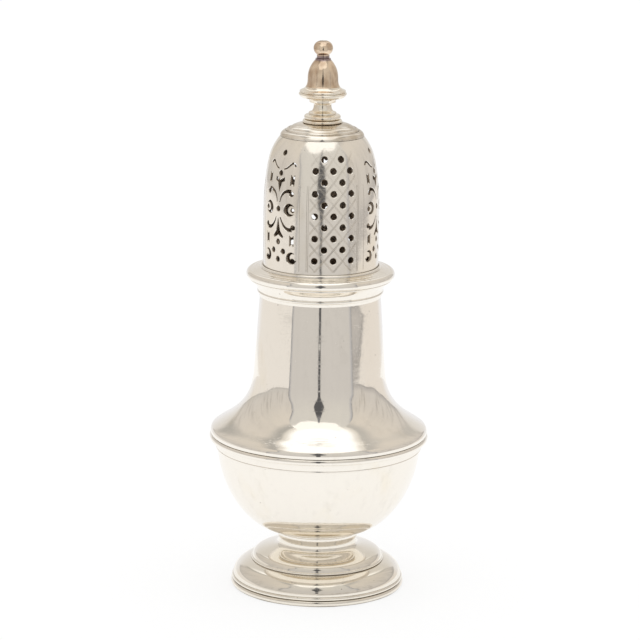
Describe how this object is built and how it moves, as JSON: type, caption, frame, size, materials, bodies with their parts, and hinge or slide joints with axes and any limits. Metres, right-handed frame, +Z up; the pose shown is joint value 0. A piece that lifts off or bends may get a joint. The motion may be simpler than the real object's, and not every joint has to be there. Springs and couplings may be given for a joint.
{
  "type": "sugar caster",
  "caption": "Silver sugar caster with a pear-shaped body on a domed foot and a pierced, domed pull-off cover that sprinkles sugar; bell finial on top.",
  "frame": {"origin": "middle of the foot, on the surface that the caster stands on", "axes": "+Z up along the caster's axis, -Y towards the front view of the picture"},
  "size_m": [0.0756, 0.0756, 0.1903],
  "materials": {
    "silver": "polished sterling silver, hand burnished, with fine scratches",
    "warm_silver": "polished silver with a warm tarnish"
  },
  "bodies": {
    "caster_body": {"foot_rim": "silver", "foot_dome": "silver", "foot_collet": "silver", "bowl": "silver", "girdle": "silver", "upper_body": "silver", "mouth_rim": "silver"},
    "cover": {"cover_rim": "silver", "cover_bezel": "silver", "pierced_dome": "silver", "cover_crown": "silver", "finial_reel": "silver", "finial_saucer": "silver", "finial_bell": "warm_silver", "finial_ball": "warm_silver", "finial_tang": "silver", "tang_washer": "silver"}
  },
  "joints": [
    {"name": "cover_lift", "type": "slide", "parent": "caster_body", "child": "cover", "axis": [0, 0, 1], "range_m": [0, 0.08]}
  ]
}
